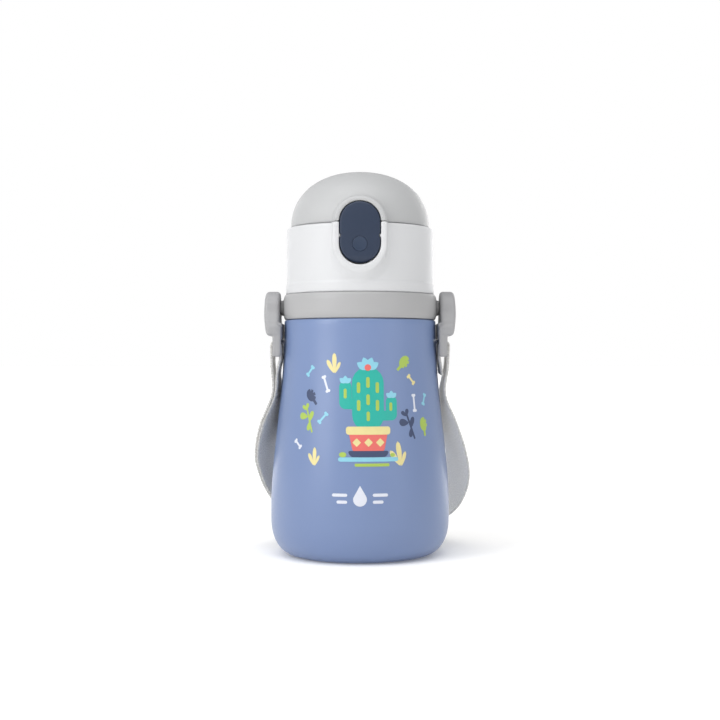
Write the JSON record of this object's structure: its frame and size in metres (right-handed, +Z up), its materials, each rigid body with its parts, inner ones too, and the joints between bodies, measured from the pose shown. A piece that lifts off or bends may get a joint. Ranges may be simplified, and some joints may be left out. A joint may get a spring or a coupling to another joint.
{
  "type": "kids insulated straw bottle",
  "caption": "Insulated child's drinking bottle with a flip-up dome lid, rocker latch, straw spout and a webbing carrying strap on a turning collar.",
  "frame": {"origin": "middle of the recessed base plate in the foot, 0.6 mm above the table", "axes": "+Z up along the bottle's own axis, -Y towards the latch, +Y towards the lid hinge, +X to the right seen from the latch"},
  "size_m": [0.099, 0.1009, 0.1713],
  "materials": {
    "coated_steel": "satin powder coat",
    "bare_steel": "brushed",
    "grey_plastic": "matte",
    "white_plastic": "fine matte",
    "navy_plastic": "matte",
    "silicone": "soft matte",
    "straw_plastic": "smooth",
    "webbing": "woven"
  },
  "bodies": {
    "flask": {"outer_shell": "coated_steel", "inner_liner": "bare_steel", "base_plate": "bare_steel", "getter_capsule": "bare_steel"},
    "collar": {"strap_ring": "grey_plastic"},
    "strap": {"left_clip": "grey_plastic", "right_clip": "grey_plastic", "strap_webbing": "webbing", "strap_slider": "grey_plastic"},
    "lid": {"lid_base": "white_plastic", "mouth_gasket": "silicone", "spout": "silicone", "straw": "straw_plastic", "vent_valve": "silicone", "hinge_pin": "bare_steel", "hinge_spring": "bare_steel", "latch_pin": "bare_steel", "latch_spring": "bare_steel"},
    "flip": {"flip_lid": "grey_plastic", "lid_inner_cap": "grey_plastic", "spout_seal": "silicone"},
    "latch": {"latch_button": "navy_plastic"}
  },
  "joints": [
    {"name": "collar_turn", "type": "hinge", "parent": "flask", "child": "collar", "pos_m": [0, 0, 0.11], "axis": [0, 0, 1], "continuous": true},
    {"name": "strap_swing", "type": "hinge", "parent": "collar", "child": "strap", "pos_m": [0, 0, 0.1104], "axis": [1, 0, 0], "range_deg": [0, 290]},
    {"name": "lid_lift", "type": "slide", "parent": "flask", "child": "lid", "axis": [0, 0, 1], "range_m": [0, 0.15]},
    {"name": "lid_flip", "type": "hinge", "parent": "lid", "child": "flip", "pos_m": [0, 0.0346, 0.147], "axis": [-1, 0, 0], "range_deg": [0, 115], "deforming": ["hinge_spring"]},
    {"name": "latch_press", "type": "hinge", "parent": "lid", "child": "latch", "pos_m": [0, -0.0314, 0.1399], "axis": [1, 0, 0], "range_deg": [0, 8], "stiffness_Nm_per_rad": 0.4, "deforming": ["latch_spring"]}
  ]
}
